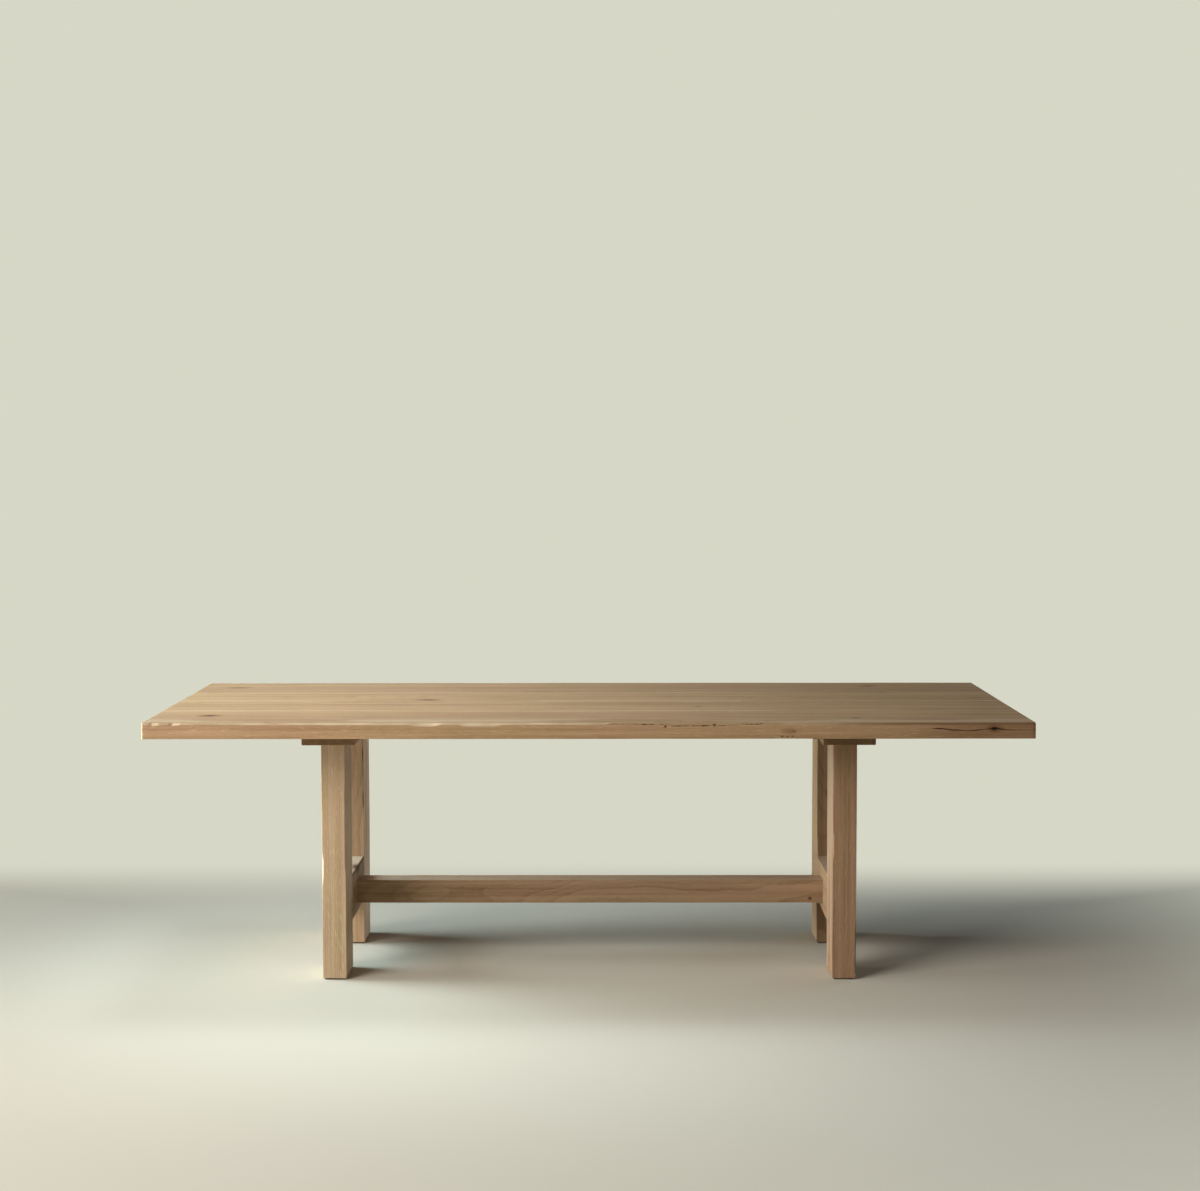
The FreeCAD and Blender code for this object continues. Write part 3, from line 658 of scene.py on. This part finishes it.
def end_crack(x, z, offset):
    """Depth and darkness of the end crack and of the hollow at its knot. The darkness is partly their
    own and partly painted shade inside them.
    """
    width = crack_width(x)
    valley = np.exp(-(offset / (CRACK_OPEN * width + TINY)) ** 2) * width
    size = CRACK_KNOT.size
    knot_reach = np.hypot((x - KNOT_AT) / (CRACK_KNOT.long * size), (z - CRACK_HEIGHT) / size)
    hollow = 1.0 - smooth_step(knot_reach, 0.35, 1.0)
    dark = np.exp(-(offset / (CRACK_DARK * width + TINY)) ** 2) * (0.45 + 0.55 * width)
    return CRACK_DEPTH * valley + HOLLOW_DEPTH * hollow, np.maximum(dark, hollow)


def front_stain_and_shade(x, offset):
    """How far the front is darkened: staining around its crack, and painted shade at both ends and at
    its right corner.
    """
    stain_and_shade = HALO * np.exp(-(offset / HALO_WIDTH) ** 2) * smooth_step(x, *HALO_FROM)
    # Painted shade: darker towards both ends of the front, the left one less, and at its right corner.
    stain_and_shade = np.maximum(stain_and_shade, DARK_END * smooth_step(x, *DARK_END_FROM))
    stain_and_shade = np.maximum(stain_and_shade, LEFT_END_SHARE * DARK_END * smooth_step(-x, *LEFT_END_FROM))
    return np.maximum(stain_and_shade, CORNER_SHADE * smooth_step(x, *CORNER_FROM))


def rubbed_pale_and_highlight(x, arris):
    """How pale the worn arris is, partly from wear and partly a painted highlight: less towards the
    right, where the painted highlight fades, and along its dull stretches.
    """
    rubbed = (0.85 + 0.3 * waves(0.09, 74, x)).clip(0.4, 1.2)
    for start, end, ease, loss in DULL_STRETCHES:
        rubbed = rubbed - loss * stretch(x, start, end, ease)
    return (RUBBED_PALE_AND_HIGHLIGHT - HIGHLIGHT_FADE * smooth_step(x, *HIGHLIGHT_FADE_FROM)) * rubbed * arris ** 0.5


def carve_front(place, normal, arris):
    """The end crack with its knot, their darkness partly painted shade; the staining round the crack;
    painted shade at both ends, at the right corner, along the arris's right half and on the chips'
    walls;
    the pale worn arris with its painted highlight, and its chips; a painted highlight on the left tip;
    and the thin bark line below it."""
    x, z = place[..., 0], place[..., 2]
    on_front = normal[..., 1] < -0.99
    on_arris = (normal[..., 1] < 0.0) & (normal[..., 2] > 0.0) & (arris > 0.0)
    offset = np.abs(z - crack_height(x))
    # The crack's and the hollow's darkness is partly painted shade inside them.
    depth, crack = end_crack(x, z, offset)
    depth, crack = depth * on_front, crack * on_front
    crack = np.maximum(crack, front_stain_and_shade(x, offset) * (normal[..., 1] < -0.4))
    # Painted shade: the arris darker along the table's right half, most towards the right end.
    arris_shade = ARRIS_SHADE + ARRIS_SHADE_GAIN * smooth_step(x, *ARRIS_SHADE_FROM)
    crack = np.maximum(crack, arris_shade * on_arris * (x > 0.0))
    # The worn arris pales: partly wear, partly a painted highlight that fades towards the right.
    fresh_and_highlight = rubbed_pale_and_highlight(x, arris) * on_arris
    below = bark_height(x) - z
    for start, end, strength in BARK_SPANS:
        seed = int(end * 1000)
        shows = stretch(x, start + 0.005, end - 0.005, 0.005) * on_front
        shows = shows * (0.85 + 0.25 * waves(0.02, seed, x)).clip(0.5, 1.1)
        shows = shows * (0.80 + 0.35 * waves(0.006, seed + 1, x)).clip(0.35, 1.15)
        near = np.exp(-(below / BARK_WIDTH) ** 2) * shows
        crack = np.maximum(crack, BARK_DARKNESS * near * strength)
        depth = depth + BARK_DEPTH * near
        beside = np.exp(-((below - 0.0024) / 0.0009) ** 2) + np.exp(-((below + 0.0022) / 0.0009) ** 2)
        fresh_and_highlight = np.maximum(fresh_and_highlight, 0.75 * beside * shows)
    for start, length, _ in CHIPS:
        share = (x - start) / length
        bared = smooth_step(share, CHIP_SHADE - 0.05, CHIP_SHADE + 0.08)
        bared = bared * (1.0 - smooth_step(share, 0.80, 1.0))
        fresh_and_highlight = np.maximum(fresh_and_highlight, bared * on_arris)
        # Painted shade on the chip's wall that faces away from the light.
        shaded = stretch(share, 0.10, CHIP_SHADE - 0.09, 0.06)
        crack = np.maximum(crack, CHIP_PAINTED_SHADE * shaded * on_arris)
    # Painted highlight on the front's left tip.
    tip = smooth_step(-x, *LEFT_TIP) * (normal[..., 1] < -0.05)
    return depth, crack, np.maximum(fresh_and_highlight, LEFT_TIP_HIGHLIGHT * tip)


def front_plank(low, high):
    close_ups = [(start - 0.004, start + length + 0.004, 0.0012) for start, length, _ in CHIPS]
    close_ups += [(KNOT_AT - 0.02, KNOT_AT + 0.02, 0.0015), (CRACK_START - 0.01, CRACK_END, 0.003),
                  (RAGGED_START - 0.01, RAGGED_END, 0.003)]
    close_ups += [(start - ease, end + ease, 0.004) for start, end, ease, _ in DIPS]
    along = stations(low.x, high.x, 0.009, close_ups)
    radius, flat = front_arris(along)
    rows = (even_rows(26, high.y - low.y), front_rows(along, radius, TOP_ARRIS, low.z, high.z),
            even_rows(10, high.y - low.y), even_rows(1, high.z - low.z))
    radii = (JOINT_ARRIS, radius, TOP_ARRIS, JOINT_ARRIS)
    end_radii = (JOINT_ARRIS, TOP_ARRIS, TOP_CORNER, TOP_ARRIS)
    return timber("front_board", low, high, "X", along, radii, rows, end_radii, 101,
                  (0.0, flat, 0.0, 0.0), carve_front)


def plank(name, low, high, seed, outer):
    """One of the other planks. outer says that its +Y side is the table's back."""
    along = stations(low.x, high.x, 0.012)
    back = TOP_ARRIS + 0.0005 * (1.0 + waves(0.3, seed, along)) if outer else JOINT_ARRIS
    lower = TOP_ARRIS if outer else JOINT_ARRIS
    rows = (even_rows(22, high.y - low.y), even_rows(1, high.z - low.z),
            even_rows(10, high.y - low.y), even_rows(8, high.z - low.z))
    side = TOP_CORNER if outer else JOINT_ARRIS
    return timber(name, low, high, "X", along, (back, JOINT_ARRIS, JOINT_ARRIS, lower), rows,
                  (side, TOP_ARRIS, JOINT_ARRIS, TOP_ARRIS), seed)


# ---------------------------------------------------------------- the legs

LEG_ARRIS = 0.0013
LEG_HEAD = 0.675
WEAR_FLATNESS = 0.8

# Each leg's worn arrises: 2 is the left front one and 3 the right front one. Then from where to where
# up the leg, and how deep.
WORN_ARRISES = {
    "left_front_leg": ((2, 0.262, 0.360, 0.0022), (3, 0.300, 0.560, 0.0014)),
    "left_back_leg": ((3, 0.405, 0.640, 0.0018),),
    "right_front_leg": ((2, 0.335, 0.420, 0.0036), (3, 0.010, 0.162, 0.0022)),
    "right_back_leg": ((2, 0.150, 0.330, 0.0014),),
}

# The place of the log's heart from the leg's middle, the leg's colour, figure and seed, and the
# side that shows sapwood: -1 the left one, 1 the right one, 0 none. The colour is partly the leg's own
# and partly painted light: lighter on the left legs, and cooler on the left front one, and darker and
# warmer on the right ones.
Wood = namedtuple("Wood", "heart tone figure seed sap")
LEG_WOODS = {
    "left_front_leg": Wood((-0.17, 0.01), (1.22, 1.31, 1.41), 0.50, 17.0, 0),
    "left_back_leg": Wood((0.06, 0.30), (1.20, 1.18, 1.22), 0.75, 12.0, 1),
    "right_front_leg": Wood((0.17, -0.01), (0.94, 0.875, 0.89), 0.95, 13.0, -1),
    "right_back_leg": Wood((-0.01, 0.19), (0.94, 0.91, 0.91), 0.90, 14.0, 0),
}

# The split in the left back leg: from where to where up the leg, ease and strength of its three parts.
SPLIT = ((0.515, 0.584, 0.012, 1.0), (0.420, 0.450, 0.015, 0.75), (0.40, 0.63, 0.02, 0.3))
SPLIT_DEPTH, SPLIT_DARKNESS = 0.0006, 0.9


def carve_split(place, normal, arris):
    """A dark split that follows the left back leg's arris below the bearer; its darkness is partly its
    own and partly painted shade inside it.
    """
    z = place[..., 2]
    on_arris = (normal[..., 0] > 0.0) & (normal[..., 1] < 0.0) & (arris > 0.0)
    shows = sum(strength * stretch(z, start, end, ease) for start, end, ease, strength in SPLIT)
    shows = (shows * (0.85 + 0.25 * waves(0.03, 81, z))).clip(0.0, 1.0)
    # The darkness is partly painted shade inside the split.
    return SPLIT_DEPTH * shows * on_arris, SPLIT_DARKNESS * shows * on_arris * arris, np.zeros_like(z)


def leg_shape(leg, low, high, seed):
    along = stations(low.z, high.z, 0.008, end_reach=0.004)
    radii, flats = [], []
    for corner in range(4):
        radius = LEG_ARRIS + 0.0004 * (1.0 + waves(0.22, seed + corner, along))
        flat = np.zeros_like(along)
        for worn, start, end, deep in WORN_ARRISES[leg]:
            if worn == corner:
                wear = stretch(along, start + 0.02, end - 0.02, 0.02)
                radius = radius + deep * wear * (1.0 + 0.45 * waves(0.06, seed, along)).clip(0.3, 1.5)
                flat = flat + WEAR_FLATNESS * wear
        radii.append(radius)
        flats.append(flat)
    rows = (even_rows(6, high.x - low.x), even_rows(12, high.y - low.y)) * 2
    carve = carve_split if leg == "left_back_leg" else None
    return timber(leg.replace("_leg", "_post"), low, high, "Z", along, radii, rows, (LEG_ARRIS,) * 4,
                  seed, flats, carve)


# ---------------------------------------------------------------- other materials

def beech_material():
    """Grooved dowel beech: plain, with short dark flecks."""
    material, sh = new_material("beech")
    place = sh.add("TexCoord").outputs["Object"]
    flecks = sh.noise(place, (900.0, 140.0, 900.0), 2.0)
    cloud = sh.noise(place, (60.0, 60.0, 60.0), 2.0)
    colour = sh.mix(sh.math("MULTIPLY", sh.smooth(flecks, 0.5, 0.7), 0.8), BEECH, BEECH_FLECK)
    colour = sh.mix(sh.math("MULTIPLY", cloud, 0.3), colour, SAP_OAK)
    sh.finish(colour, sh.centred(cloud, 0.2, 0.6), flecks)
    return material


def metal_material(name, light, dark, level):
    """Turned or plated metal: a mottled tint, fine turning marks and a little grime."""
    material, sh = new_material(name)
    place = sh.add("TexCoord").outputs["Object"]
    mottle = sh.noise(place, (420.0, 420.0, 420.0), 3.0)
    turning = sh.noise(place, (300.0, 300.0, 5200.0), 2.0)
    colour = sh.mix(sh.smooth(mottle, 0.3, 0.7), dark, light)
    sh.finish(colour, sh.centred(mottle, 0.25, level), turning, 0.0001, 0.3, Metallic=1.0)
    return material


def felt_material():
    """Pressed felt: matted fibres in two shades of brown."""
    material, sh = new_material("felt")
    place = sh.add("TexCoord").outputs["Object"]
    bend = sh.noise(place, (300.0, 300.0, 300.0), 2.0, 0.5, "Color")
    bent = sh.vector("ADD", place, sh.vector("SCALE", bend, scale=0.004))
    fibres = sh.noise(bent, (2600.0, 2600.0, 5000.0), 2.0)
    tufts = sh.noise(place, (240.0, 240.0, 240.0), 3.0)
    colour = sh.mix(sh.math("ADD", sh.centred(fibres, 0.9, 0.5), sh.centred(tufts, 0.6), clamp=True),
                    FELT_DARK, FELT_LIGHT)
    sh.finish(colour, sh.centred(tufts, 0.1, 0.92), fibres, 0.0006, 0.6,
              Sheen_Weight=0.4, Sheen_Roughness=0.5)
    return material


# ---------------------------------------------------------------- stage

def light_path_mix(sh, seen, other):
    """The first shader for what the camera and reflections see, and the second for the light."""
    path = sh.add("LightPath").outputs
    looks = sh.math("ADD", path["Is Camera Ray"], path["Is Glossy Ray"])
    looks = sh.math("ADD", looks, path["Is Transmission Ray"], clamp=True)
    mixed = sh.add("MixShader")
    sh.feed(mixed.inputs[0], looks)
    sh.feed(mixed.inputs[1], other)
    sh.feed(mixed.inputs[2], seen)
    return mixed.outputs[0]


FLOOR_RADIUS = 40.0

# Where the floor fades into the backdrop: by its place behind the table, and by its distance from it.
BACK_FADE = (0.45, 1.30)
ROUND_FADE = (1.2, 3.4)

# Painted shade on the floor: its colour turns from the darker FLOOR_PAINTED_SHADE at the back and
# left, under and behind the table, to FLOOR_UNSHADED towards the front and right.
TONE_SLANT = 0.25
TONE_TURN = (-0.9, 1.1)

EVEN_LIGHT, EVEN_STRENGTH = (1.0, 0.90, 0.85), 0.025

Lamp = namedtuple("Lamp", "place target size spread power colour")
LAMPS = {
    "window": Lamp((-3.9, -3.4, 3.1), (0.0, 0.0, 0.5), (3.0, 2.5), 180.0, 224.0, (1.05, 1.0, 0.965)),
    "high_window": Lamp((-3.0, 0.35, 1.66), (-0.45, 0.0, 0.45), (1.3, 1.3), 60.0, 15.5,
                        (0.78, 0.97, 1.05)),
    "low_window": Lamp((-7.0, -0.5, 0.55), (-0.4, 0.0, 0.35), (2.8, 1.0), 60.0, 64.0, (0.85, 1.0, 1.0)),
    "back_fill": Lamp((4.5, 3.0, 0.8), (0.0, 0.0, 0.4), (3.0, 1.4), 180.0, 70.0, (0.84, 1.0, 1.12)),
    "skylight": Lamp((-0.80, 0.5, 3.3), (-0.60, 0.0, 0.75), (0.8, 0.8), 70.0, 4.9, (0.90, 1.0, 1.08)),
}

# The camera as it was solved from the photo's straight edges: metres, millimetres and radians.
CAMERA_PLACE = (0.05174, -5.46889, 1.45909)
CAMERA_PITCH, CAMERA_YAW, CAMERA_ROLL = 0.05416, -0.00378, -0.00134
CAMERA_LENS, CAMERA_SENSOR, CAMERA_SHIFT = 56.53, 36.0, -0.0296


def floor():
    """A wide pale floor with painted shade, darker at the back and left under the table, that fades
    into the backdrop behind the table and far from it.
    """
    bpy.ops.mesh.primitive_circle_add(vertices=128, radius=FLOOR_RADIUS, fill_type="NGON")
    made = bpy.context.object
    made.name = "floor"
    material, sh = new_material("pale_floor")
    surface = sh.add("BsdfPrincipled")
    place = sh.add("TexCoord").outputs["Object"]
    x, y, _ = sh.parts(place)
    # Painted shade: darker towards the back and the left, under the table.
    unshaded = sh.math("MULTIPLY_ADD", x, TONE_SLANT, sh.math("MULTIPLY", y, -1.0))
    unshaded = sh.smooth(unshaded, *TONE_TURN)
    sh.feed(surface.inputs["Base Color"], sh.mix(unshaded, FLOOR_PAINTED_SHADE, FLOOR_UNSHADED))
    surface.inputs["Roughness"].default_value = 0.9
    surface.inputs["Specular IOR Level"].default_value = 0.0
    far = sh.add("Emission")
    sh.feed(far.inputs["Color"], PALE_WALL)
    far_off = sh.smooth(sh.vector("LENGTH", place), *ROUND_FADE)
    fade = sh.math("MAXIMUM", far_off, sh.smooth(y, *BACK_FADE))
    blend = sh.add("MixShader")
    sh.feed(blend.inputs[0], fade)
    sh.feed(blend.inputs[1], surface.outputs[0])
    sh.feed(blend.inputs[2], far.outputs[0])
    out = sh.add("OutputMaterial")
    sh.feed(out.inputs["Surface"], light_path_mix(sh, blend.outputs[0], surface.outputs[0]))
    made.data.materials.append(material)


def surroundings():
    """A pale backdrop for the eye, and an even, warm light from all round."""
    world = bpy.data.worlds.new("studio")
    bpy.context.scene.world = world
    world.use_nodes = True
    world.node_tree.nodes.clear()
    sh = Shader(world.node_tree)
    seen = sh.add("Background")
    sh.feed(seen.inputs["Color"], PALE_WALL)
    even = sh.add("Background")
    sh.feed(even.inputs["Color"], EVEN_LIGHT)
    even.inputs["Strength"].default_value = EVEN_STRENGTH
    out = sh.add("OutputWorld")
    sh.feed(out.inputs["Surface"], light_path_mix(sh, seen.outputs[0], even.outputs[0]))


def lights():
    """Wide soft lamps, each of which faces its target."""
    for name, lamp in LAMPS.items():
        data = bpy.data.lights.new(name, "AREA")
        data.shape = "RECTANGLE"
        data.size, data.size_y = lamp.size
        data.spread = math.radians(lamp.spread)
        data.energy = lamp.power
        data.color = lamp.colour
        made = bpy.data.objects.new(name, data)
        bpy.context.scene.collection.objects.link(made)
        made.location = lamp.place
        aim = Vector(lamp.target) - Vector(lamp.place)
        made.rotation_euler = aim.to_track_quat("-Z", "Y").to_euler()


def camera():
    data = bpy.data.cameras.new("camera")
    data.sensor_width = CAMERA_SENSOR
    data.lens = CAMERA_LENS
    data.shift_y = CAMERA_SHIFT
    made = bpy.data.objects.new("camera", data)
    bpy.context.scene.collection.objects.link(made)
    made.location = CAMERA_PLACE
    made.rotation_euler = (math.pi / 2 - CAMERA_PITCH, -CAMERA_ROLL, -CAMERA_YAW)
    bpy.context.scene.camera = made


# ---------------------------------------------------------------- the table

def dress(node, material):
    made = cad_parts[node]
    made.data.materials.clear()
    made.data.materials.append(material)


def stand_for(piece, node, material):
    """Puts a detailed piece in a node's place."""
    piece.data.materials.append(material)
    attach(piece, "root")
    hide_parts(node)


# The place of each board's heart, and its own colour and figure.
Board = namedtuple("Board", "heart tone figure")
TOP_BOARDS = {
    "front": Board((-0.42, 0.58), (1.07, 1.03, 0.99), 0.70),
    "middle_front": Board((0.02, 0.56), (1.07, 1.05, 1.00), 0.85),
    "middle_back": Board((0.10, 0.655), (1.08, 1.06, 1.00), 0.85),
    "back": Board((0.20, 0.60), (0.98, 0.95, 0.92), 0.85),
}
TABLE_EDGE = 0.4
JOINT_SAPWOOD = 0.012
FRONT_SAPWOOD = 0.045


def top():
    for seed, (which, wood) in enumerate(TOP_BOARDS.items()):
        node = "top_plank_" + which
        low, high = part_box(node)
        edges = [(edge, JOINT_SAPWOOD) for edge in (low.y, high.y) if abs(edge) < TABLE_EDGE]
        if which == "front":
            edges.append((low.y + FRONT_SAPWOOD, FRONT_SAPWOOD))
            board = front_plank(low, high)
        else:
            board = plank(which + "_board", low, high, 110 + seed, which == "back")
        material = oak_material("oak_" + which, "X", wood.heart, seed + 1.0, wood.tone,
                                KNOTS.get(node, ()), edges, wood.figure)
        stand_for(board, node, material)


LEG_SAPWOOD = 0.006
FRAME_FIGURE = 0.8
# Painted shade: the bearers darkened, the right one more.
BEARER_SHADE_TONES = {"left": (0.79, 0.72, 0.67), "right": (0.69, 0.65, 0.60)}
# The left rail darkened with painted shade, and the right one lightened with painted light.
RAIL_LIGHT_AND_SHADE_TONES = {"left": (0.82, 0.80, 0.79), "right": (1.10, 1.07, 1.04)}
STRETCHER_TONE = (0.97, 0.96, 0.97)
PLUG_TONE = (0.90, 0.86, 0.82)
# How much pale colour lies on the rail and stretcher tops: partly a dusty film, partly painted light.
RAIL_DUST_AND_LIGHT, STRETCHER_DUST_AND_LIGHT = 0.70, 0.36


def trestles():
    for seed, (leg, wood) in enumerate(LEG_WOODS.items()):
        low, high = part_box(leg)
        middle = (low + high) / 2
        low.z, high.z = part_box(leg.replace("_leg", "_foot_pad"))[1].z, LEG_HEAD
        heart = (middle.x + wood.heart[0], middle.y + wood.heart[1])
        sap = [(low.x if wood.sap < 0 else high.x, LEG_SAPWOOD)] if wood.sap else ()
        material = oak_material("oak_" + leg, "Z", heart, wood.seed, wood.tone, KNOTS.get(leg, ()), sap,
                                wood.figure)
        stand_for(leg_shape(leg, low, high, 130 + 10 * seed), leg, material)
    for seed, side in enumerate(("left", "right")):
        low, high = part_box(side + "_bearer")
        middle = (low + high) / 2
        bearer = oak_material("oak_" + side + "_bearer", "Y", (0.80, middle.x + 0.03), 21.0 + seed,
                              BEARER_SHADE_TONES[side])
        rail = oak_material("oak_" + side + "_rail", "Y", (0.20, middle.x * 0.75), 31.0 + seed,
                            RAIL_LIGHT_AND_SHADE_TONES[side], KNOTS.get(side + "_cross_rail", ()),
                            figure=FRAME_FIGURE, dust_and_top_light=RAIL_DUST_AND_LIGHT)
        dress(side + "_bearer", bearer)
        dress(side + "_cross_rail", rail)
    dress("stretcher", oak_material("oak_stretcher", "X", (0.22, 0.185), 41.0, STRETCHER_TONE,
                                    KNOTS["stretcher"], figure=FRAME_FIGURE, dust_and_top_light=STRETCHER_DUST_AND_LIGHT))


def fittings():
    dress("stretcher_bolt_plugs", oak_material("oak_plugs", "Z", (0.62, 0.08), 51.0, PLUG_TONE))
    dress("plank_dowels", beech_material())
    zinc = metal_material("zinc", ZINC_LIGHT, ZINC_DARK, 0.38)
    for node in ("top_bolts", "top_bolt_washers", "bearer_screws", "stretcher_bolts",
                 "stretcher_bolt_washers", "stretcher_barrel_nuts"):
        dress(node, zinc)
    dress("top_inserts", metal_material("brass", BRASS_LIGHT, BRASS_DARK, 0.32))
    felt = felt_material()
    for side in ("left", "right"):
        for end in ("front", "back"):
            dress(f"{side}_{end}_foot_pad", felt)


top()
trestles()
fittings()
floor()
surroundings()
lights()
camera()
bpy.context.scene.view_settings.view_transform = "Standard"
